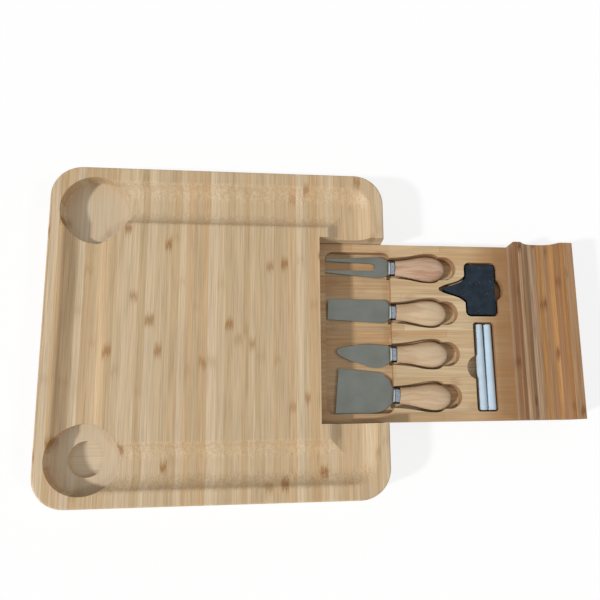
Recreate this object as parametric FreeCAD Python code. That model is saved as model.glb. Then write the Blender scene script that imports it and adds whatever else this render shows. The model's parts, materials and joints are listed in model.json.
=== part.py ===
"""Square bamboo cheese board with a slide-out knife drawer.

Millimetres. +X is the way the drawer slides out, +Z is up, and the origin is the
middle of the board's underside. The drawer is drawn pulled out, the board at rest.
"""
import FreeCAD, Part
import math
import os

V = FreeCAD.Vector
os.makedirs("parts", exist_ok=True)

# Board: a square block of three glued layers, its middle layer cut away for the drawer.
board_side = 330.0
corner_radius = 30.0
top_thickness = 17.5
bottom_thickness = 5.0
back_rail_width = 29.0
top_edge_round = 2.0
bottom_edge_round = 1.2

# Serving groove that runs in a square round the raised middle, with a narrow flat floor.
rim_width = 12.5
groove_width = 47.5
groove_depth = 8.7
groove_slope = 18.5
crest_radius = 5.0

# Round wells for small bowls, in the two corners away from the drawer.
well_radius = 33.0
well_inset_x = 42.6
well_inset_y = 44.0
well_floor = 2.5
small_well_radius = 17.0
small_well_depth = 6.0

# Drawer: a flat tray with the cut-out piece of the board's rim glued on its end.
# Its slot lies a little to one side of the board's middle.
slot_centre = 2.6
notch_length = 66.8
drawer_travel = 205.0
drawer_side_wall = 8.8
drawer_side_gap = 0.75
drawer_top_gap = 0.5
drawer_bottom_gap = 0.3
drawer_back_gap = 1.0
front_gap = 0.5
tray_floor = 2.5
drawer_edge_round = 1.5

# Knives, all with the same handle and ferrule, each lying in its own lane.
blade_thickness = 1.5
fork_length = 67.8
fork_half_width = 11.3
fork_root_gap = 8.2
fork_root = 18.2
fork_tip_gap = 10.5
fork_tip_width = 2.0
chisel_length = 64.8
chisel_half_width = 12.4
chisel_end_half_width = 10.5
pointed_length = 55.8
spade_length = 58.6
tang_width = 7.0
tang_length = 28.0
ferrule_length = 7.0
ferrule_half_width = 8.5
ferrule_half_height = 3.9
ferrule_wall = 0.6
ferrule_bead = 0.35
ferrule_bead_start = 0.3
ferrule_bead_length = 1.0
ferrule_bead_ease = 0.3
knife_fit = 0.1
handle_length = 54.0
handle_half_width = 13.8
handle_thickness = 11.6

# Slate labels, stacked, and two sticks of chalk.
label_thickness = 3.0
label_count = 3
label_gap = 0.2
label_length = 31.3
label_width = 54.7
label_stake = 24.8
label_neck = 13.6
label_tip = 1.3
label_corner = 3.5
chalk_radius = 4.6
chalk_thin_radius = 3.9
chalk_length = 91.0
chalk_gap = 0.3
chalk_chamfer = 0.6

# Layout of the tray: across it by lanes, and along it back from the front's inner face.
lane_spacings = [48.5, 43.8, 44.2]
lane_margin_top = 16.55
lane_margin_bottom = 16.85
blade_pocket_inset = 129.7
blade_end_gap = 0.4
knife_start = 1.6
blade_pocket_corner = 8.0
handle_pocket_overlap = 2.5
handle_side_gap = 2.6
handle_end_gap = 13.0
handle_scoop_radius = 12.8
label_inset = 15.4
label_offset = 46.1
label_pocket_gap = 2.4
label_tip_room = 4.0
label_top_gap = 0.9
chalk_inset = 19.7
chalk_offset = -37.0
chalk_side_gap = 0.8
chalk_pocket_room = 3.3
chalk_end_gap = 1.7
rest_gap = 0.3
blade_floor_gap = 1.15
finger_scoop_radius = 13.0
label_scoop_reach = 6.8
chalk_scoop_reach = 8.5
chalk_scoop_offset = -1.2

# Heights, from the table up.
handle_pocket_depth = rest_gap + handle_thickness + rest_gap
tray_thickness = tray_floor + handle_pocket_depth
slot_height = drawer_bottom_gap + tray_thickness + drawer_top_gap
z_slot = bottom_thickness
z_panel = z_slot + slot_height
z_top = z_panel + top_thickness
z_groove = z_top - groove_depth
z_well = z_panel + well_floor
z_small_well = z_well - small_well_depth
z_tray = z_slot + drawer_bottom_gap
z_tray_top = z_tray + tray_thickness
z_handle_floor = z_tray_top - handle_pocket_depth
z_knife = z_handle_floor + rest_gap + handle_thickness / 2
z_blade_floor = z_knife - blade_thickness / 2 - blade_floor_gap
z_label_floor = z_tray_top - label_count * (label_thickness + label_gap) - label_top_gap
z_chalk_floor = z_tray_top - 2 * chalk_radius - 2 * rest_gap
overshoot = 5.0
above = z_top + overshoot

# Plan of the board.
half = board_side / 2
groove_out = half - rim_width
groove_in = groove_out - groove_width
groove_mid = (groove_in + groove_out) / 2
well_x = well_inset_x - half
well_y = half - well_inset_y
notch_wall_x = half - notch_length
slot_back_x = back_rail_width - half

# Plan of the drawer, pulled out.
lane_room = lane_margin_top + sum(lane_spacings) + lane_margin_bottom
blade_pocket_half = lane_room / 2
lanes = [slot_centre + blade_pocket_half - lane_margin_top]
for spacing in lane_spacings:
    lanes.append(lanes[-1] - spacing)
drawer_half = blade_pocket_half + drawer_side_wall
drawer_low = slot_centre - drawer_half
drawer_high = slot_centre + drawer_half
slot_low = drawer_low - drawer_side_gap
slot_high = drawer_high + drawer_side_gap
drawer_back = slot_back_x + drawer_back_gap + drawer_travel
drawer_end = half + drawer_travel
front_inner = notch_wall_x + front_gap + drawer_travel
blade_pocket_right = front_inner - blade_pocket_inset
handle_pocket_start = blade_pocket_right - handle_pocket_overlap
longest_blade = max(fork_length, chisel_length, pointed_length, spade_length)
blade_pocket_left = handle_pocket_start + knife_start - longest_blade - blade_end_gap
handle_scoop_x = (
    handle_pocket_start + ferrule_length + handle_length + handle_end_gap - handle_scoop_radius)
label_centre = slot_centre + label_offset
label_right = front_inner - label_inset
label_left = label_right - label_length
chalk_centre = slot_centre + chalk_offset
chalk_pocket_right = front_inner - chalk_inset
chalk_right_x = chalk_pocket_right - chalk_side_gap - chalk_radius
chalk_left_x = chalk_right_x - 2 * chalk_radius - chalk_gap
chalk_pocket_left = chalk_left_x - chalk_radius - chalk_pocket_room


def box(x0, x1, y0, y1, z0, z1):
    """Box between two corners."""
    return Part.makeBox(x1 - x0, y1 - y0, z1 - z0, V(x0, y0, z0))


def edges_along(shape, axis):
    """Straight edges of a shape that run along one axis (0 = X, 1 = Y, 2 = Z)."""
    found = []
    for edge in shape.Edges:
        if not isinstance(edge.Curve, Part.Line):
            continue
        a = edge.Vertexes[0].Point
        b = edge.Vertexes[-1].Point
        d = [abs(a.x - b.x), abs(a.y - b.y), abs(a.z - b.z)]
        if d[axis] > 0.999 * (a - b).Length:
            found.append(edge)
    return found


def at_height(shape, z):
    """Edges of a shape that lie wholly at one height."""
    found = []
    for edge in shape.Edges:
        if abs(edge.BoundBox.ZMin - z) < 1e-4 and abs(edge.BoundBox.ZMax - z) < 1e-4:
            found.append(edge)
    return found


def rounded_box(x0, x1, y0, y1, z0, z1, radius):
    """Box with its four upright corners rounded."""
    shape = box(x0, x1, y0, y1, z0, z1)
    return shape.makeFillet(radius, edges_along(shape, 2))


def block(z0, z1):
    """Slice of the board's rounded square block."""
    return rounded_box(-half, half, -half, half, z0, z1, corner_radius)


def turned(shape, degrees):
    """Copy of a shape turned about the board's upright axis."""
    copy = shape.copy()
    copy.rotate(V(0, 0, 0), V(0, 0, 1), degrees)
    return copy


def line(a, b):
    """Straight edge between two points."""
    return Part.LineSegment(a, b).toShape()


def arc(a, through, b):
    """Round edge through three points."""
    return Part.Arc(a, through, b).toShape()


def smooth(points):
    """Smooth edge through a list of points."""
    curve = Part.BSplineCurve()
    curve.interpolate(points)
    return curve.toShape()


def face_of(edges):
    """Flat face inside a closed ring of edges."""
    return Part.Face(Part.Wire(Part.__sortEdges__(edges)))


def save(node, shape):
    """Write one solid as parts/NODE.step."""
    if len(shape.Solids) != 1 or not shape.isValid():
        raise ValueError("%s has %d solids" % (node, len(shape.Solids)))
    shape.Solids[0].exportStep("parts/%s.step" % node)


def groove_side(x_crest, towards):
    """Points of one side of the groove in (x, z), from its crest down to its floor.

    A small convex arc leaves the crest level and runs straight on into the cove's
    larger concave arc, which is level again where it meets the flat floor. For a side
    w wide and h deep both arcs turn through t, where tan(t / 2) = h / w, and their
    radii add up to w / sin(t).
    towards is 1 where the floor lies on the +x side of the crest, and -1 on the other.
    """
    t = 2 * math.atan(groove_depth / groove_slope)
    cove_radius = groove_slope / math.sin(t) - crest_radius
    x_floor = x_crest + towards * groove_slope

    def crest(a):
        drop = crest_radius * (1 - math.cos(a))
        return (x_crest + towards * crest_radius * math.sin(a), z_top - drop)

    def cove(a):
        lift = cove_radius * (1 - math.cos(a))
        return (x_floor - towards * cove_radius * math.sin(a), z_groove + lift)

    return [crest(0), crest(t / 2), crest(t), cove(t / 2), cove(0)]


def side_edges(points):
    """The two arcs of one side of the groove."""
    return [arc(*points[:3]), arc(*points[2:])]


def groove_edges(flat):
    """Groove line from its inner crest to its outer crest, drawn by flat(x, z)."""
    inner = [flat(x, z) for x, z in groove_side(groove_in, 1)]
    outer = [flat(x, z) for x, z in groove_side(groove_out, -1)]
    return side_edges(inner) + [line(inner[-1], outer[-1])] + side_edges(outer)


def ring(points):
    """Straight edges through a list of points."""
    return [line(a, b) for a, b in zip(points, points[1:])]


def groove_run():
    """Cutter for one straight run of the groove, on the +X side."""

    def flat(x, z):
        return V(x, -groove_mid, z)

    corners = [
        flat(groove_out, z_top),
        flat(groove_out, above),
        flat(groove_in, above),
        flat(groove_in, z_top),
    ]
    return face_of(groove_edges(flat) + ring(corners)).extrude(V(0, 2 * groove_mid, 0))


def groove_corner():
    """Cutter for the outer quarter of one corner, turned about the tool's centre."""

    def flat(x, z):
        return V(x, groove_mid, z)

    outer = [flat(x, z) for x, z in groove_side(groove_out, -1)]
    low = flat(groove_mid, z_groove)
    corners = [outer[0], flat(groove_out, above), flat(groove_mid, above), low, outer[-1]]
    return face_of(side_edges(outer) + ring(corners)).revolve(low, V(0, 0, 1), 90)


def well(y, radius, z0):
    """Round well cutter."""
    return Part.makeCylinder(radius, above - z0, V(well_x, y, z0))


def make_top_panel():
    """Top layer with its groove, wells and the notch for the drawer's front."""
    panel = block(z_panel, z_top)
    panel = panel.makeFillet(top_edge_round, at_height(panel, z_top))
    run = groove_run()
    corner = groove_corner()
    for k in range(4):
        panel = panel.cut(turned(run, 90 * k))
        panel = panel.cut(turned(corner, 90 * k))
    panel = panel.cut(well(well_y, well_radius, z_well))
    panel = panel.cut(well(-well_y, well_radius, z_well))
    panel = panel.cut(well(-well_y, small_well_radius, z_small_well))
    return panel.cut(box(
        notch_wall_x, half + overshoot, slot_low, slot_high, z_panel - overshoot, above))


save("top_panel", make_top_panel())

# Slot layer: two side rails and a back rail.
layer = block(z_slot, z_panel)
save("upper_rail", layer.common(box(-half, half, slot_high, half, z_slot, z_panel)))
lower_rail = layer.common(box(-half, half, -half, slot_low, z_slot, z_panel))
save("lower_rail", lower_rail.cut(well(-well_y, small_well_radius, z_small_well)))
save("back_rail", box(-half, slot_back_x, slot_low, slot_high, z_slot, z_panel))

# Bottom panel.
bottom = block(0, z_slot)
save("bottom_panel", bottom.makeFillet(bottom_edge_round, at_height(bottom, 0)))

# Half widths of the turned handle and of its pocket, at distances from the ferrule, as
# parts of the handle's length and half width.
handle_shape = [(0.0, 0.62), (0.17, 0.675), (0.36, 0.81), (0.53, 0.955), (0.66, 1.0)]
handle_shape += [(0.78, 0.955), (0.88, 0.8), (0.955, 0.545)]
pocket_shape = [(0.19, 0.9), (0.34, 0.99), (0.48, 1.1), (0.63, 1.165), (0.76, 1.165)]
pocket_shape += [(0.83, 1.1), (0.89, 0.955), (0.945, 0.65), (0.98, 0.0)]


def sized(shape):
    """Points of a handle or pocket outline in millimetres."""
    return [(x * handle_length, r * handle_half_width) for x, r in shape]


def handle_pocket(centre):
    """Teardrop pocket for one handle, open to the blade pocket at its narrow end.

    A finger scoop with a round end runs on from it behind the handle.
    """
    x0 = handle_pocket_start
    upper = [(0.0, ferrule_half_width + handle_side_gap)]
    upper += [(ferrule_length + x, r) for x, r in sized(pocket_shape)]
    top = [V(x0 + x, centre + y, z_handle_floor) for x, y in upper]
    low = [V(x0 + x, centre - y, z_handle_floor) for x, y in reversed(upper[:-1])]
    face = face_of([smooth(top + low), line(low[-1], top[0])])
    height = above - z_handle_floor
    scoop_start = handle_scoop_x - handle_scoop_radius
    run = box(
        scoop_start, handle_scoop_x, centre - handle_scoop_radius,
        centre + handle_scoop_radius, z_handle_floor, above)
    end = Part.makeCylinder(handle_scoop_radius, height, V(handle_scoop_x, centre, z_handle_floor))
    return face.extrude(V(0, 0, height)).fuse([run, end])


# Half widths of the label's stake along its length, as parts of its neck and length.
stake_shape = [(0.0, 1.0), (0.04, 0.905), (0.12, 0.765), (0.25, 0.6), (0.42, 0.475)]
stake_shape += [(0.62, 0.35), (0.82, 0.205)]


def label_face(z, grow=0.0, tip_room=0.0):
    """Slate label seen from above, a plate with a pointed stake.

    Its pocket is the same outline grown by a gap, with more room at the tip.
    """
    y = label_width / 2 + grow
    left = label_left - grow
    right = label_right + grow
    r = label_corner + grow
    tip = label_tip + grow / 2
    stake = label_stake + tip_room
    tip_x = left - stake
    upper = [(left - x * stake, w * label_neck + grow / 2) for x, w in stake_shape]
    upper.append((tip_x + tip, tip))

    def at(x, dy):
        return V(x, label_centre + dy, z)

    def corner(x, side, up):
        cx = x - side * r
        cy = up * (y - r)
        s = r * math.sqrt(0.5)
        return [at(cx, up * y), at(cx + side * s, cy + up * s), at(x, cy)]

    edges = [smooth([at(px, py) for px, py in upper])]
    edges.append(smooth([at(px, -py) for px, py in upper]))
    edges.append(arc(at(*upper[-1]), at(tip_x, 0), at(upper[-1][0], -upper[-1][1])))
    corners = {}
    for side, x in ((-1, left), (1, right)):
        for up in (-1, 1):
            corners[side, up] = corner(x, side, up)
            edges.append(arc(*corners[side, up]))
    for up in (-1, 1):
        edges.append(line(corners[-1, up][0], corners[1, up][0]))
        edges.append(line(corners[-1, up][2], at(left, up * upper[0][1])))
    edges.append(line(corners[1, -1][2], corners[1, 1][2]))
    return face_of(edges)


def make_tray():
    """Flat tray with pockets for blades, handles, labels and chalk."""
    tray = box(drawer_back, drawer_end, drawer_low, drawer_high, z_tray, z_tray_top)
    uprights = [e for e in edges_along(tray, 2) if e.BoundBox.XMin > drawer_end - 1]
    tray = tray.makeFillet(drawer_edge_round, uprights)
    tray = tray.cut(rounded_box(
        blade_pocket_left, blade_pocket_right, slot_centre - blade_pocket_half,
        slot_centre + blade_pocket_half, z_blade_floor, above, blade_pocket_corner))
    for lane in lanes:
        tray = tray.cut(handle_pocket(lane))
    labels = label_face(z_label_floor, label_pocket_gap, label_tip_room)
    tray = tray.cut(labels.extrude(V(0, 0, above - z_label_floor)))
    chalk_half = chalk_length / 2 + chalk_end_gap
    tray = tray.cut(rounded_box(
        chalk_pocket_left, chalk_pocket_right, chalk_centre - chalk_half,
        chalk_centre + chalk_half, z_chalk_floor, above, label_corner))
    label_scoop_x = label_right + label_pocket_gap + label_scoop_reach - finger_scoop_radius
    chalk_scoop_x = chalk_pocket_left - chalk_scoop_reach + finger_scoop_radius
    scoops = [
        (label_scoop_x, label_centre, z_label_floor),
        (chalk_scoop_x, chalk_centre + chalk_scoop_offset, z_chalk_floor),
    ]
    for x, y, z in scoops:
        tray = tray.cut(Part.makeCylinder(finger_scoop_radius, above - z, V(x, y, z)))
    return tray


save("drawer_tray", make_tray())


def make_front():
    """The piece of the board's rim and groove that fills the notch when closed."""

    def flat(x, z):
        return V(x + drawer_travel, drawer_low, z)

    inner_x = front_inner - drawer_travel
    corners = [
        flat(groove_out, z_top),
        flat(half, z_top),
        flat(half, z_tray_top),
        flat(inner_x, z_tray_top),
        flat(inner_x, z_top),
        flat(groove_in, z_top),
    ]
    front = face_of(groove_edges(flat) + ring(corners)).extrude(V(0, 2 * drawer_half, 0))
    rounded = [e for e in edges_along(front, 2) if e.BoundBox.XMin > drawer_end - 1]
    for edge in edges_along(front, 1):
        b = edge.BoundBox
        at_end = b.XMin > drawer_end - 1 or b.XMax < front_inner + 1
        if b.ZMin > z_top - 0.01 and at_end:
            rounded.append(edge)
    return front.makeFillet(drawer_edge_round, rounded)


save("drawer_front", make_front())


def oval_bar(x0, x1, a, b):
    """Bar along X with an oval section, half widths a (Y) and b (Z)."""
    face = Part.Face(Part.Wire([Part.Ellipse(V(0, 0, 0), a, b).toShape()]))
    face.rotate(V(0, 0, 0), V(0, 0, 1), 90)
    face.rotate(V(0, 0, 0), V(0, 1, 0), 90)
    face.translate(V(x0, 0, 0))
    return face.extrude(V(x1 - x0, 0, 0))


# Each knife is drawn lying along X, with the blade end of its ferrule at x = 0.
def make_handle():
    """Turned handle pressed flat, with a neck for the ferrule and a slot for the tang."""
    x0 = ferrule_length + knife_fit
    points = [V(x0 + x, r, 0) for x, r in sized(handle_shape)]
    points.append(V(x0 + handle_length, 0, 0))
    curve = Part.BSplineCurve()
    curve.interpolate(points, InitialTangent=V(1, 0, 0), FinalTangent=V(0, -1, 0))
    start = V(x0, 0, 0)
    outline = [curve.toShape(), line(points[-1], start), line(start, points[0])]
    pressed = FreeCAD.Matrix()
    pressed.A33 = handle_thickness / (2 * handle_half_width)
    turned_body = face_of(outline).revolve(V(0, 0, 0), V(1, 0, 0), 360)
    body = turned_body.transformGeometry(pressed)
    inset = ferrule_wall + knife_fit
    neck = oval_bar(0.5, x0 + 2.0, ferrule_half_width - inset, ferrule_half_height - inset)
    y = tang_width / 2 + knife_fit
    z = blade_thickness / 2 + knife_fit
    slot = box(-1.0, tang_length + 0.5, -y, y, -z, z)
    return body.fuse(neck).cut(slot)


def make_ferrule():
    """Thin oval collar between blade and handle, with a bead rolled near its blade end."""
    outer = oval_bar(0, ferrule_length, ferrule_half_width, ferrule_half_height)
    bead = oval_bar(
        ferrule_bead_start, ferrule_bead_start + ferrule_bead_length,
        ferrule_half_width + ferrule_bead, ferrule_half_height + ferrule_bead)
    bead = bead.makeChamfer(ferrule_bead_ease, bead.Edges)
    a = ferrule_half_width - ferrule_wall
    b = ferrule_half_height - ferrule_wall
    return outer.fuse(bead).cut(oval_bar(-1, ferrule_length + 1, a, b))


shoulder_x = -0.2
shoulder_y = ferrule_half_width - 0.9


def flat_points(points):
    """Points of a blade's outline at the underside of its plate."""
    return [V(x, y, -blade_thickness / 2) for x, y in points]


def plate(pieces):
    """Blade plate with its tang, from lists of outline points: two make a line."""
    edges = [line(*flat_points([(shoulder_x, shoulder_y), (shoulder_x, -shoulder_y)]))]
    for piece in pieces:
        points = flat_points(piece)
        edges.append(line(*points) if len(points) == 2 else smooth(points))
    blade = face_of(edges).extrude(V(0, 0, blade_thickness))
    y = tang_width / 2
    tang = box(-4.0, tang_length, -y, y, -blade_thickness / 2, blade_thickness / 2)
    return blade.fuse(tang).removeSplitter()


def below(points):
    """The same points mirrored to the lower side."""
    return [(x, -y) for x, y in points]


def fork():
    """Two long tines that taper to narrow round ends."""
    w = fork_half_width
    tip_x = -fork_length
    inner_y = fork_tip_gap / 2
    outer_y = inner_y + fork_tip_width
    round_x = tip_x + fork_tip_width / 2
    flank = [(shoulder_x, shoulder_y), (-3.6, w - 1.8), (-8.0, w - 0.2), (-14.0, w)]
    side = [(-14.0, w), (round_x, outer_y)]
    tip = [(round_x, outer_y), (tip_x, (inner_y + outer_y) / 2), (round_x, inner_y)]
    slot_end = -fork_root
    gap = fork_root_gap / 2
    slot_side = [(round_x, inner_y), (slot_end, gap)]
    bow = gap * math.sqrt(0.5)
    slot_round = [(slot_end, gap), (slot_end + bow, bow), (slot_end + gap, 0)]
    slot_round += [(slot_end + bow, -bow), (slot_end, -gap)]
    pieces = [flank, side, tip, slot_side]
    return plate(pieces + [below(p) for p in pieces] + [slot_round])


def chisel():
    """Straight plane, a little narrower at its cutting end."""
    w = chisel_half_width
    corner = (-chisel_length, chisel_end_half_width)
    shoulder = [(shoulder_x, shoulder_y), (-1.3, w - 3.4), (-3.6, w - 1.3), (-7.2, w)]
    side = [(-7.2, w), corner]
    end = [corner, (-chisel_length, -chisel_end_half_width)]
    return plate([shoulder, side, below(shoulder), below(side), end])


def along(length, points):
    """Outline points whose distances from the ferrule are parts of a blade's length."""
    return [(-x * length, y) for x, y in points]


def pointed():
    """Small pointed knife, nearly straight along its back and broad below."""
    back = [(0.1, 8.7), (0.27, 9.4), (0.43, 9.8), (0.59, 9.3), (0.73, 7.9), (0.85, 6.6)]
    back += [(0.937, 5.4)]
    under = [(0.03, -9.4), (0.11, -12.9), (0.19, -14.4), (0.28, -14.5), (0.41, -13.1)]
    under += [(0.52, -10.9), (0.6, -9.6), (0.76, -7.1), (0.87, -4.2), (0.965, -1.2)]
    tip = [(-pointed_length, 2.3)]
    back = [(shoulder_x, shoulder_y)] + along(pointed_length, back) + tip
    return plate([back, [(shoulder_x, -shoulder_y)] + along(pointed_length, under) + tip])


def spade():
    """Broad blade with rounded shoulders and a slanting cutting edge."""
    top = (1.1 - spade_length, 24.3)
    bottom = (-spade_length, -21.6)
    upper = [(0.034, 10.9), (0.066, 14.4), (0.126, 17.6), (0.2, 20.6), (0.32, 22.4)]
    lower = [(0.06, -10.5), (0.11, -13.5), (0.17, -16.2), (0.256, -18.2), (0.34, -19.4)]
    lower += [(0.51, -20.2)]
    upper = [(shoulder_x, shoulder_y)] + along(spade_length, upper)
    lower = [(shoulder_x, -shoulder_y)] + along(spade_length, lower)
    return plate([upper, [upper[-1], top], [top, bottom], [bottom, lower[-1]], lower])


# Where each knife lies: out and across from its lane's start, and its turn in degrees.
knives = [
    ("fork", fork, 0.0, 1.6, -1.3),
    ("chisel", chisel, -0.4, 2.05, -2.0),
    ("pointed", pointed, -1.0, 0.75, -1.0),
    ("spade", spade, 0.8, 2.15, -3.4),
]
handle = make_handle()
ferrule = make_ferrule()
for lane, (name, make_blade, out, across, turn) in zip(lanes, knives):
    place = V(handle_pocket_start + knife_start + out, lane + across, z_knife)
    for part, shape in (("blade", make_blade()), ("ferrule", ferrule), ("handle", handle)):
        laid = turned(shape, turn)
        laid.translate(place)
        save("%s_%s" % (name, part), laid)

# Slate labels, stacked.
for k in range(label_count):
    z = z_label_floor + label_gap + k * (label_thickness + label_gap)
    save("label_%d" % (k + 1), label_face(z).extrude(V(0, 0, label_thickness)))

# Chalk sticks side by side, thinner at one end, with their rims eased.
chalk_tilt = math.degrees(math.asin((chalk_radius - chalk_thin_radius) / chalk_length))
for name, x in (("chalk_left", chalk_left_x), ("chalk_right", chalk_right_x)):
    foot = V(x, chalk_centre - chalk_length / 2, z_chalk_floor + rest_gap + chalk_radius)
    stick = Part.makeCone(chalk_radius, chalk_thin_radius, chalk_length, foot, V(0, 1, 0))
    rims = [e for e in stick.Edges if isinstance(e.Curve, Part.Circle)]
    stick = stick.makeChamfer(chalk_chamfer, rims)
    stick.rotate(foot, V(1, 0, 0), -chalk_tilt)
    save(name, stick)
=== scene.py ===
# %% [markdown]
# A square bamboo cheese board with its knife drawer pulled out.
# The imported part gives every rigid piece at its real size, so this file only has to light it,
# look at it, and give each piece the finish of the real material.

# %% Load the part
import json
import math

import bpy
import numpy as np
from mathutils import Matrix, Vector


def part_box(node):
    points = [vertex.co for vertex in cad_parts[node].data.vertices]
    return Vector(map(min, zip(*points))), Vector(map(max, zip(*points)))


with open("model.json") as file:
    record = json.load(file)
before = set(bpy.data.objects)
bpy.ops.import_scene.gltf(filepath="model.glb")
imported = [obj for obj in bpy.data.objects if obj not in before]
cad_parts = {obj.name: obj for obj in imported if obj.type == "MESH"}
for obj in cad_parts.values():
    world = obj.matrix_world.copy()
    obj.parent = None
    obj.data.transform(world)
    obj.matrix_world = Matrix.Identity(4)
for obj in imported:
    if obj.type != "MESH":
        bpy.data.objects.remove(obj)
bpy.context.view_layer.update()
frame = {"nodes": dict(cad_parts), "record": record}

nodes = frame["nodes"]
board_low, board_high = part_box("top_panel")
MM = 0.001
print(len(nodes), "pieces, board", round((board_high.x - board_low.x) / MM), "mm square")

# %% [markdown]
# The photograph was taken from above with a wide lens. The camera was half a metre over the near
# half of the board, and leaned a little towards the drawer and the far side. A camera could be
# turned by three angles, but a place, a point that it looks at and a small roll are easier to
# read. The lens axis doesn't pass through the middle of the picture, as if the picture had
# been cropped, so the camera has a small shift.

# %% Camera
camera_place = Vector((60.1, -101.5, 556.5)) * MM
looked_at = Vector((117.2, -18.7, 38.0)) * MM
roll = math.radians(1.04)
picture_side = 600
focal_length = 534.0
axis_in_picture = (340.0, 348.9)

forward = (looked_at - camera_place).normalized()
level = forward.cross(Vector((0, 1, 0))).normalized()
turn = Matrix.Rotation(roll, 3, forward)
right = turn @ level
up = turn @ level.cross(forward)
facing = Matrix((right, up, -forward)).transposed().to_4x4()

camera = bpy.data.objects.new("camera", bpy.data.cameras.new("camera"))
bpy.context.scene.collection.objects.link(camera)
camera.matrix_world = Matrix.Translation(camera_place) @ facing
camera.data.sensor_width = 36.0
camera.data.lens = camera.data.sensor_width * focal_length / picture_side
camera.data.shift_x = 0.5 - axis_in_picture[0] / picture_side
camera.data.shift_y = axis_in_picture[1] / picture_side - 0.5
camera.data.clip_start = 0.01
bpy.context.scene.camera = camera
bpy.context.scene.view_settings.view_transform = "Standard"
print("lens", round(camera.data.lens, 1), "mm")

# %% [markdown]
# The shadows in the round wells say where the light came from: each is a circle that slid 21 mm
# to the right and 8 mm up over a wall 15 mm high. That is a lamp 34 degrees above the table,
# at the left and a little on the near side. Its shadows are about half as bright as what it
# lights, so the other half of the light comes from elsewhere: most of it from the whole room,
# and a little from a second lamp at the right, which gives the drawer's front its narrow
# shadow. Sun lamps keep both directions the same all over the board.

# %% Lamps
key_share = 0.46
second_share = 0.10
room_share = 1.0 - key_share - second_share


def sun(name, towards, share, softness):
    """A lamp that gives a flat surface the given share of full light. softness is in degrees."""
    lamp = bpy.data.objects.new(name, bpy.data.lights.new(name, "SUN"))
    bpy.context.scene.collection.objects.link(lamp)
    direction = Vector(towards).normalized()
    lamp.rotation_mode = "QUATERNION"
    lamp.rotation_quaternion = direction.to_track_quat("Z", "Y")
    lamp.data.energy = share * math.pi / direction.z
    lamp.data.angle = math.radians(softness)


sun("window", (-21, -8, 15), key_share, 5)
sun("second_window", (17, -6, 18), second_share, 9)
print("light on a flat surface:", key_share, second_share, round(room_share, 2))

# %% [markdown]
# The background is a white cut-out. The world is white where the camera or a polished surface
# sees it, and only as bright as the room where it lights the wood.

# %% White surroundings
def seen_directly(tree):
    """A socket that is 1 for rays from the camera and from polished surfaces, and 0 for others."""
    rays = tree.nodes.new("ShaderNodeLightPath")
    either = tree.nodes.new("ShaderNodeMath")
    either.operation = "MAXIMUM"
    tree.links.new(rays.outputs["Is Camera Ray"], either.inputs[0])
    tree.links.new(rays.outputs["Is Glossy Ray"], either.inputs[1])
    return either.outputs[0]


world = bpy.data.worlds.new("room")
bpy.context.scene.world = world
world.use_nodes = True
sky = world.node_tree
brightness = sky.nodes.new("ShaderNodeMapRange")
brightness.inputs["To Min"].default_value = room_share
brightness.inputs["To Max"].default_value = 1.0
sky.links.new(seen_directly(sky), brightness.inputs["Value"])
sky.links.new(brightness.outputs["Result"], sky.nodes["Background"].inputs["Strength"])
sky.nodes["Background"].inputs["Color"].default_value = (1, 1, 1, 1)
print("white world")

# %% [markdown]
# The floor does the same, and keeps a faint shadow, so that the board still stands on something.
# Seen from below it is clear, so that the underside shows.

# %% Floor
floor_side = 4.0
floor_white = 0.97
shadow_strength = 0.2

half_side = floor_side / 2
floor_mesh = bpy.data.meshes.new("floor")
floor_mesh.from_pydata(
    [(-half_side, -half_side, 0), (half_side, -half_side, 0),
     (half_side, half_side, 0), (-half_side, half_side, 0)],
    [], [(0, 1, 2, 3)])
floor = bpy.data.objects.new("floor", floor_mesh)
bpy.context.scene.collection.objects.link(floor)

floor_finish = bpy.data.materials.new("white_floor")
floor_finish.use_nodes = True
tree = floor_finish.node_tree
tree.nodes.clear()
matt = tree.nodes.new("ShaderNodeBsdfDiffuse")
matt.inputs["Color"].default_value = (floor_white, floor_white, floor_white, 1)
glow = tree.nodes.new("ShaderNodeEmission")
white_share = tree.nodes.new("ShaderNodeMath")
white_share.operation = "MULTIPLY"
white_share.inputs[1].default_value = 1.0 - shadow_strength
tree.links.new(seen_directly(tree), white_share.inputs[0])
blend = tree.nodes.new("ShaderNodeMixShader")
tree.links.new(white_share.outputs[0], blend.inputs["Fac"])
tree.links.new(matt.outputs[0], blend.inputs[1])
tree.links.new(glow.outputs[0], blend.inputs[2])
from_below = tree.nodes.new("ShaderNodeMixShader")
faces = tree.nodes.new("ShaderNodeNewGeometry")
clear = tree.nodes.new("ShaderNodeBsdfTransparent")
tree.links.new(faces.outputs["Backfacing"], from_below.inputs["Fac"])
tree.links.new(blend.outputs[0], from_below.inputs[1])
tree.links.new(clear.outputs[0], from_below.inputs[2])
surface = tree.nodes.new("ShaderNodeOutputMaterial")
tree.links.new(from_below.outputs[0], surface.inputs["Surface"])
floor_mesh.materials.append(floor_finish)
print("floor", floor_side, "m")

# %% [markdown]
# A finish is a chain of small sums on the place of each point. Written out with Blender's nodes
# that chain is long, so this helper gives each sum one short name. Every method returns the
# socket that holds its result, and takes numbers and sockets alike. Places are in millimetres,
# and a rate is how many units of a pattern go into a millimetre.

# %% Helper for finishes
def linear(*shown):
    """The linear colour of one that is written as it shows on screen, 0 to 255."""
    part = np.array(shown) / 255.0
    low = part / 12.92
    high = ((part + 0.055) / 1.055) ** 2.4
    return (*np.where(part <= 0.04045, low, high).tolist(), 1.0)


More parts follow.
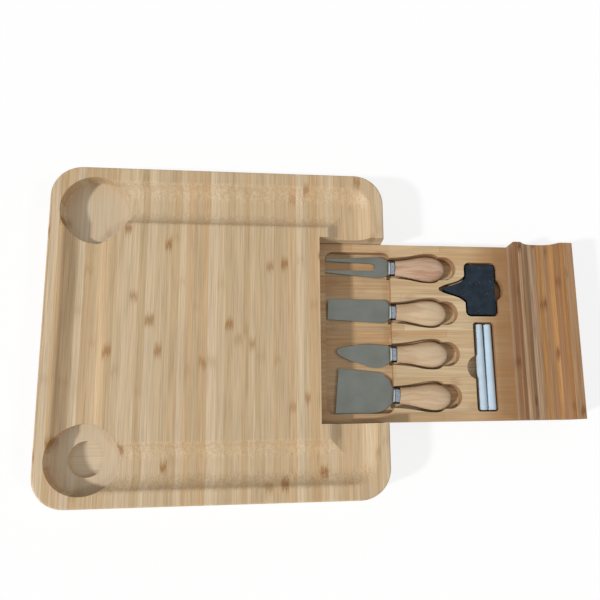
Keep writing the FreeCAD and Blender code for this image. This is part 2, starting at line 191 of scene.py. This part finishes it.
class Finish:
    """A material that is built up as a formula of each point's place."""

    def __init__(self, name):
        self.material = bpy.data.materials.new(name)
        self.material.use_nodes = True
        self.tree = self.material.node_tree
        self.tree.nodes.clear()
        point = self.node("TexCoord")
        self.place = self.scaled(point.outputs["Object"], 1 / MM)
        self.x, self.y, self.z = self.parts(self.place)
        self.rise = self.parts(point.outputs["Normal"])[2]

    def node(self, kind, **settings):
        made = self.tree.nodes.new("ShaderNode" + kind)
        for setting, value in settings.items():
            setattr(made, setting, value)
        return made

    def put(self, socket, value):
        if isinstance(value, bpy.types.NodeSocket):
            self.tree.links.new(value, socket)
        else:
            socket.default_value = value

    def math(self, operation, *values):
        made = self.node("Math", operation=operation)
        for socket, value in zip(made.inputs, values):
            self.put(socket, value)
        return made.outputs[0]

    def plus(self, a, b):
        return self.math("ADD", a, b)

    def times(self, a, b):
        return self.math("MULTIPLY", a, b)

    def parts(self, vector):
        made = self.node("SeparateXYZ")
        self.put(made.inputs[0], vector)
        return made.outputs[0], made.outputs[1], made.outputs[2]

    def join(self, x, y, z):
        made = self.node("CombineXYZ")
        for socket, value in zip(made.inputs, (x, y, z)):
            self.put(socket, value)
        return made.outputs[0]

    def scaled(self, vector, factor):
        """A place or a colour, times one number."""
        made = self.node("VectorMath", operation="SCALE")
        self.put(made.inputs[0], vector)
        self.put(made.inputs["Scale"], factor)
        return made.outputs[0]

    def stretched(self, x_rate, y_rate, z_rate):
        """The place in the units of a pattern that has its own rate along each axis."""
        return self.join(
            self.times(self.x, x_rate), self.times(self.y, y_rate), self.times(self.z, z_rate))

    def noise(self, place, detail=2.0, roughness=0.5):
        """Soft random bumps one unit across, from 0 to 1 with a mean of 0.5."""
        made = self.node("TexNoise")
        self.put(made.inputs["Vector"], place)
        made.inputs["Scale"].default_value = 1.0
        made.inputs["Detail"].default_value = detail
        made.inputs["Roughness"].default_value = roughness
        return made.outputs["Fac"]

    def chances(self, x, y=0.0, z=0.0):
        """Three random numbers from 0 to 1 that stay the same while x, y and z do."""
        made = self.node("TexWhiteNoise", noise_dimensions="3D")
        self.put(made.inputs["Vector"], self.join(x, y, z))
        return self.parts(made.outputs["Color"])

    def strips(self, across, unevenness=0.6):
        """Strips about one unit wide: a random number for each, and the distance to its edge."""
        strip = self.node("TexVoronoi", voronoi_dimensions="1D", feature="F1")
        edge = self.node("TexVoronoi", voronoi_dimensions="1D", feature="DISTANCE_TO_EDGE")
        for made in (strip, edge):
            self.put(made.inputs["W"], across)
            made.inputs["Scale"].default_value = 1.0
            made.inputs["Randomness"].default_value = unevenness
        return self.parts(strip.outputs["Color"])[0], edge.outputs["Distance"]

    def dots(self, place):
        """The distance from each point to the nearest of many points one unit apart."""
        made = self.node("TexVoronoi", voronoi_dimensions="3D", feature="F1")
        self.put(made.inputs["Vector"], place)
        made.inputs["Scale"].default_value = 1.0
        return made.outputs["Distance"]

    def fade(self, value, start, end, low=0.0, high=1.0):
        """low before start, high past end, and a smooth step between them."""
        made = self.node("MapRange", interpolation_type="SMOOTHSTEP")
        self.put(made.inputs["Value"], value)
        made.inputs["From Min"].default_value = start
        made.inputs["From Max"].default_value = end
        made.inputs["To Min"].default_value = low
        made.inputs["To Max"].default_value = high
        return made.outputs["Result"]

    def mix(self, share, first, second):
        made = self.node("Mix", data_type="RGBA")
        self.put(made.inputs[0], share)
        self.put(made.inputs[6], first)
        self.put(made.inputs[7], second)
        return made.outputs[2]

    def bump(self, height, depth):
        """A normal for a relief of that depth in millimetres where height goes from 0 to 1."""
        made = self.node("Bump")
        made.inputs["Strength"].default_value = 1.0
        made.inputs["Distance"].default_value = depth * MM
        self.put(made.inputs["Height"], height)
        return made.outputs["Normal"]

    def done(self, colour, roughness, normal, **constants):
        """The finished material. constants are other inputs of the shader, with _ for a space."""
        shader = self.node("BsdfPrincipled")
        self.put(shader.inputs["Base Color"], colour)
        self.put(shader.inputs["Roughness"], roughness)
        if normal is not None:
            self.put(shader.inputs["Normal"], normal)
        for name, value in constants.items():
            shader.inputs[name.replace("_", " ")].default_value = value
        output = self.node("OutputMaterial")
        self.tree.links.new(shader.outputs[0], output.inputs["Surface"])
        return self.material


print("a colour of 193, 168, 134 on screen is", [round(c, 2) for c in linear(193, 168, 134)])

# %% [markdown]
# Bamboo boards are glued up from strips of cane. Each strip has its own tone, fine fibres along
# its length, and every 20 cm or so the brown mark of a joint of the cane. The fibres are
# bundles that run straight through the wood: on a flat face they show as lines, on the slopes
# of the groove as short dashes, and on an end as dots. A pattern drawn on the surface would
# need three versions. One pattern in space, stretched along the grain, gives all three.
# Routed walls are painted browner than the faces, which is painted shade, and the wood low
# down, on the floors of the deep wells, is painted paler, which lightens their shade.
#
# The class below adds one of these at a time. The rates are across and along the grain. The
# numbers of a fade are the two values that it starts and ends at, and what it gives there.

# %% Bamboo
# Painted light: a pale colour that lightens the shade of the wood low down, in the deep wells.
well_light_colour = linear(212, 198, 176)
honey = linear(140, 90, 26)
tone_seed = 91.0
mark_seed = 57.0
piece_seed = 7.0
second_draw = 5.0
sway_rates = (0.02, 0.008)
fibre_rates = (1.5, 0.016)
band_rates = (0.34, 0.009)
bundle_rates = (1.1, 0.02)
ragged_rates = (1.7, 0.06)
strip_sway = 1.2
mark_raggedness = 6.5
mark_reach = 9.0
mark_core = 2.8
core_darkness = 0.62
glue_line = 0.5
butt_line = 0.4
# Heights in mm between which the wood is painted paler, to lighten the shade low down.
well_light_from = 28.5
well_light_full = 24.0


class Bamboo(Finish):
    """Bamboo with its grain along axis grain: 0 is X and 1 is Y. mark is the brown of its cane
    marks. The colour is built up in self.colour."""

    def __init__(self, name, grain, mark):
        super().__init__(name)
        self.axes = (self.x, self.y)
        self.along = self.axes[grain]
        self.across = self.axes[1 - grain]
        self.mark = mark

    def grained(self, across_rate, along_rate):
        """The place in the units of a pattern that is stretched along the grain."""
        return self.join(
            self.times(self.across, across_rate), self.times(self.along, along_rate),
            self.times(self.z, across_rate))

    def tint(self, share, colour):
        self.colour = self.mix(share, self.colour, colour)

    def lay_strips(self, strip, start, piece):
        """Strips of mean width strip that sway a little. If piece is given, they are butted end
        to end at that length, at a random place on each strip."""
        place = self.join(
            self.times(self.along, sway_rates[1]), self.times(self.across, sway_rates[0]), 0.0)
        sway = self.noise(place, 1.0)
        swayed = self.plus(self.across, self.times(sway, strip_sway))
        self.strip_id, edge = self.strips(self.plus(self.times(swayed, 1 / strip), start))
        self.edge = self.times(edge, strip)
        self.block = 0.0
        self.butt = None
        if piece:
            slid = self.plus(
                self.times(self.along, 1 / piece), self.times(self.strip_id, piece_seed))
            self.block = self.math("FLOOR", slid)
            self.butt = self.times(self.math("PINGPONG", slid, 0.5), piece)

    def tone_strips(self, tones, start):
        """Each strip's tone is a random mix of the palest, the darkest and a warmer one."""
        palest, darkest, warmer = tones
        tone, warmth, self.mark_seat = self.chances(
            self.times(self.strip_id, tone_seed), self.block, start)
        self.line_depth, self.mark_strength = self.chances(
            self.times(self.strip_id, mark_seed), self.block, start + second_draw)[:2]
        self.colour = self.mix(tone, palest, darkest)
        self.tint(self.fade(warmth, 0.45, 1.0, 0.0, 0.75), warmer)

    def draw_fibres(self, contrast):
        self.fibre = self.noise(self.grained(*fibre_rates), 3.0, 0.6)
        band = self.noise(self.grained(*band_rates), 2.0)
        bundle = self.dots(self.grained(*bundle_rates))
        fine = self.fade(self.fibre, 0.3, 0.72, -0.15, 0.1)
        broad = self.fade(band, 0.32, 0.68, -0.08, 0.06)
        streak = self.times(contrast, self.plus(fine, broad))
        speck = self.fade(bundle, 0.05, 0.34, -0.2, 0.03)
        self.colour = self.scaled(self.colour, self.plus(1.0, self.plus(streak, speck)))
        self.tint(self.fade(self.fibre, 0.5, 0.2, 0.0, 0.3), self.mark)

    def draw_cane_marks(self, step, marks):
        """A mark on each strip every step millimetres. It darkens the points whose distance along
        the strip from its random middle, made ragged by fine noise, is under mark_reach, and
        those under mark_core once more."""
        seat = self.plus(self.times(self.along, 1 / step), self.mark_seat)
        away = self.times(self.plus(self.math("FRACT", seat), -0.5), step)
        noise = self.noise(self.grained(*ragged_rates), 3.0, 0.7)
        ragged = self.fade(noise, 0.2, 0.8, -mark_raggedness, mark_raggedness)
        away = self.math("ABSOLUTE", self.plus(away, ragged))
        side = self.fade(self.edge, 0.0, 1.6, 0.55, 1.0)
        strength = self.fade(self.mark_strength, 0.1, 0.95, 0.15, 1.0)
        core_colour = (*[c * core_darkness for c in self.mark[:3]], 1.0)
        for reach, sharp, share, colour in (
                (mark_reach, 0.5, marks, self.mark), (mark_core, 0.3, marks * 0.45, core_colour)):
            shape = self.times(self.fade(away, reach, sharp), side)
            self.tint(self.times(shape, self.times(strength, share)), colour)

    def draw_lines(self):
        """Thin dark lines where strips meet side by side, and where they are butted."""
        line = self.fade(self.edge, glue_line, 0.05)
        self.tint(self.times(line, self.fade(self.line_depth, 0.2, 1.0, 0.0, 0.4)), self.mark)
        if self.butt is not None:
            self.tint(self.fade(self.butt, butt_line, 0.1, 0.0, 0.45), self.mark)

    def age(self, deeper, wall_shade):
        """deeper lists (axis, from, to, share) for places where the wood turns browner along an
        axis.
        The second argument is the share of painted shade, in the cane marks' brown, on upright
        walls;
        the more of it there is, the less the wood low down is painted paler to lighten its shade."""
        for axis, start, end, share in deeper:
            self.tint(self.fade(self.axes[axis], start, end, 0.0, share), honey)
        # Painted shade on upright walls, in the cane marks' brown.
        wall_shade_mask = self.fade(self.math("ABSOLUTE", self.rise), 0.55, 0.2)
        self.tint(self.times(wall_shade_mask, wall_shade), self.mark)
        # Painted light: the wood low down, as on the floors of the deep wells, is made paler.
        well_light_share = 0.4 * (1 - wall_shade)
        self.tint(self.fade(self.z, well_light_from, well_light_full, 0.0, well_light_share), well_light_colour)

    def oiled(self):
        relief = self.plus(self.times(self.fibre, 0.6), self.fade(self.edge, 0.0, 0.4, 0.0, 0.4))
        roughness = self.fade(self.fibre, 0.3, 0.7, 0.6, 0.46)
        return self.done(self.colour, roughness, self.bump(relief, 0.06), Specular_IOR_Level=0.4)


# The deep wells are painted paler below this height, which lightens their shade.
print("deep wells are bare below", well_light_full, "mm")

# %% [markdown]
# The board and the sides of its slot are pale. The tray turns to honey towards its front, and
# the drawer's front is a darker piece with narrow, uneven strips.

# %% Four bamboos
def bamboo(name, grain, strip, tones, mark, marks=0.7, step=215.0, piece=None, start=0.0,
           wall_shade=0.0, deeper=(), contrast=1.0):
    """A bamboo finish. start slides the strips sideways, which picks other random ones."""
    finish = Bamboo(name, grain, mark)
    finish.lay_strips(strip, start, piece)
    finish.tone_strips(tones, start)
    finish.draw_fibres(contrast)
    finish.draw_cane_marks(step, marks)
    finish.draw_lines()
    finish.age(deeper, wall_shade)
    return finish.oiled()


bamboo_top = bamboo(
    "bamboo_top_finish", 1, 7.6,
    (linear(204, 182, 150), linear(185, 159, 122), linear(191, 159, 118)),
    linear(154, 112, 64), marks=1.0)
bamboo_side = bamboo(
    "bamboo_side_finish", 0, 18.0,
    (linear(204, 180, 144), linear(184, 156, 116), linear(190, 156, 112)),
    linear(146, 104, 60), start=0.4)
# The tray and the drawer's front get painted shade on their upright walls.
bamboo_tray = bamboo(
    "bamboo_tray_finish", 0, 9.5,
    (linear(202, 176, 136), linear(184, 152, 108), linear(178, 132, 78)),
    linear(132, 82, 34), marks=0.35, piece=95.0, start=3.3, wall_shade=0.7,
    deeper=((0, 252.0, 290.0, 0.78), (1, -50.0, -90.0, 0.28), (0, 176.0, 171.0, 0.2)),
    contrast=1.5)
bamboo_front = bamboo(
    "bamboo_front_finish", 1, 4.6,
    (linear(190, 160, 126), linear(112, 74, 44), linear(184, 134, 72)),
    linear(84, 48, 26), marks=1.0, step=200.0, start=12.6, wall_shade=0.5,
    deeper=((0, 326.0, 340.0, 0.4), (0, 320.0, 306.0, 0.15)),
    contrast=2.0)
print("four bamboo finishes")

# %% [markdown]
# Steel, plating, beech, slate and chalk cover the small pieces. A ferrule has a bead, but only
# a pixel or two of it show, so its bands of bright and dark are painted into its finish: a painted
# highlight on the bead, painted shade in the crease and on the rim, and painted reflection on
# its sides.

# %% Steel blades and ferrules
# Widths of the painted highlight on the bead and of the painted shade in the crease and on the
# rim.
bead_highlight_width = 1.5
crease_shade_end = 2.0
rim_shade_width = 0.6


def blade_steel():
    """Dark satin steel. Long brushed lines along the blade change its shine a little."""
    finish = Finish("blade_steel_finish")
    lines = finish.noise(finish.stretched(0.05, 5.0, 5.0), 3.0, 0.6)
    cloud = finish.noise(finish.scaled(finish.place, 0.05))
    colour = finish.mix(
        finish.fade(cloud, 0.3, 0.7), linear(109, 113, 106), linear(117, 120, 114))
    colour = finish.scaled(colour, finish.fade(lines, 0.3, 0.7, 0.96, 1.05))
    roughness = finish.fade(lines, 0.3, 0.7, 0.34, 0.44)
    return finish.done(colour, roughness, finish.bump(lines, 0.004), Metallic=1.0)


def ferrule_chrome(node):
    """Plated collar with painted reflections: a painted highlight on the bead at the blade's end,
    painted shade in the crease behind it and on the rim at the handle, and sides painted darker
    than its top, for the pocket's walls that they mirror."""
    finish = Finish(node + "_finish")
    start, end = (corner.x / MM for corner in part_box(node))
    from_blade = finish.plus(finish.x, -start)
    from_handle = finish.plus(finish.times(finish.x, -1.0), end)
    rubbed = finish.noise(finish.scaled(finish.place, 0.5), 2.0)
    # Masks of the painted shade in the crease, the painted highlight on the bead and the painted
    # shade on the rim.
    crease_shade = finish.fade(from_blade, crease_shade_end + 0.6, crease_shade_end)
    bead_highlight = finish.fade(from_blade, bead_highlight_width + 0.4, bead_highlight_width)
    rim_shade = finish.fade(from_handle, rim_shade_width + 0.6, rim_shade_width)
    colour = finish.mix(
        finish.fade(rubbed, 0.35, 0.7), linear(128, 136, 146), linear(152, 160, 170))
    colour = finish.mix(crease_shade, colour, linear(52, 54, 52))
    colour = finish.mix(bead_highlight, colour, linear(226, 228, 226))
    colour = finish.mix(rim_shade, colour, linear(66, 66, 62))
    # Painted reflection: the sides are darker than the top.
    colour = finish.scaled(colour, finish.fade(finish.rise, 0.55, 0.95, 0.4, 1.0))
    return finish.done(colour, finish.fade(rubbed, 0.3, 0.7, 0.12, 0.24), None, Metallic=1.0)


blade_finish = blade_steel()
ferrule_finishes = {name: ferrule_chrome(name) for name in nodes if name.endswith("_ferrule")}
print("steel, and plating on", len(ferrule_finishes), "ferrules")


# %% Beech handles
lane_step = 44.5


def beech(name, pale, deep, fleck, rings):
    """Turned beech: soft growth bands of width rings along the handle, and short dark flecks.
    The handles lie lane_step apart, and each has a slightly different tone."""
    finish = Finish(name)
    bend = finish.noise(finish.stretched(0.03, 0.08, 0.08), 2.0)
    band = finish.noise(finish.join(
        finish.times(finish.x, 0.02),
        finish.plus(finish.times(finish.y, 1 / rings), finish.times(bend, 3.0)),
        finish.times(finish.z, 1 / rings)), 2.0)
    colour = finish.mix(finish.fade(band, 0.35, 0.7), pale, deep)
    lane = finish.math("FLOOR", finish.times(finish.y, 1 / lane_step))
    tone = finish.plus(0.9, finish.times(finish.chances(lane)[0], 0.1))
    colour = finish.scaled(colour, tone)
    pores = finish.noise(finish.stretched(0.35, 3.2, 3.2), 2.0, 0.6)
    colour = finish.mix(finish.fade(pores, 0.36, 0.22, 0.0, 0.6), colour, fleck)
    roughness = finish.fade(pores, 0.3, 0.7, 0.55, 0.42)
    return finish.done(colour, roughness, finish.bump(pores, 0.02), Specular_IOR_Level=0.4)


handle_finish = beech(
    "handle_wood_finish",
    linear(204, 180, 148), linear(188, 158, 124), linear(138, 100, 68), 5.0)
pink_finish = beech(
    "handle_wood_pink_finish",
    linear(198, 168, 142), linear(172, 134, 106), linear(128, 86, 60), 3.4)
print("two beeches")


# %% Slate and chalk
def slate():
    """Blue-black slate: cloudy cleavage layers and a few short pale scratches."""
    finish = Finish("slate_finish")
    cloud = finish.noise(finish.scaled(finish.place, 0.12), 5.0, 0.6)
    slant = finish.times(finish.plus(finish.x, finish.y), 0.34)
    counter = finish.times(finish.plus(finish.x, finish.times(finish.y, -1.0)), 0.11)
    scratch = finish.dots(finish.join(slant, counter, 0.0))
    colour = finish.mix(finish.fade(cloud, 0.3, 0.7), linear(20, 30, 40), linear(32, 44, 54))
    colour = finish.mix(finish.fade(scratch, 0.13, 0.07, 0.0, 0.4), colour, linear(150, 160, 168))
    roughness = finish.fade(cloud, 0.3, 0.7, 0.72, 0.55)
    return finish.done(colour, roughness, finish.bump(cloud, 0.15), Specular_IOR_Level=0.2)


def chalk():
    """Pressed chalk: nearly white, with a fine powdery surface and some grey rubbed places."""
    finish = Finish("chalk_finish")
    powder = finish.noise(finish.scaled(finish.place, 1.6), 4.0, 0.7)
    patch = finish.noise(finish.scaled(finish.place, 0.1), 2.0)
    colour = finish.mix(
        finish.fade(patch, 0.35, 0.7), linear(186, 204, 216), linear(180, 197, 209))
    colour = finish.scaled(colour, finish.fade(powder, 0.3, 0.7, 0.93, 1.03))
    return finish.done(colour, 0.9, finish.bump(powder, 0.03), Specular_IOR_Level=0.3)


slate_finish = slate()
chalk_finish = chalk()
print("slate and chalk")

# %% [markdown]
# Each node of the part carries the name of the finish that it was packed with. The new finish
# goes into the same slot, so the piece keeps its mesh and its place.

# %% Dress the pieces
finishes = {
    "bamboo_top": bamboo_top,
    "bamboo_side": bamboo_side,
    "bamboo_tray": bamboo_tray,
    "bamboo_front": bamboo_front,
    "blade_steel": blade_finish,
    "handle_wood": handle_finish,
    "handle_wood_pink": pink_finish,
    "slate": slate_finish,
    "chalk": chalk_finish,
}
for subpart in frame["record"]["subparts"]:
    name = subpart["node"]
    for holder in nodes[name].material_slots:
        holder.material = ferrule_finishes.get(name) or finishes[subpart["material_slot"]]
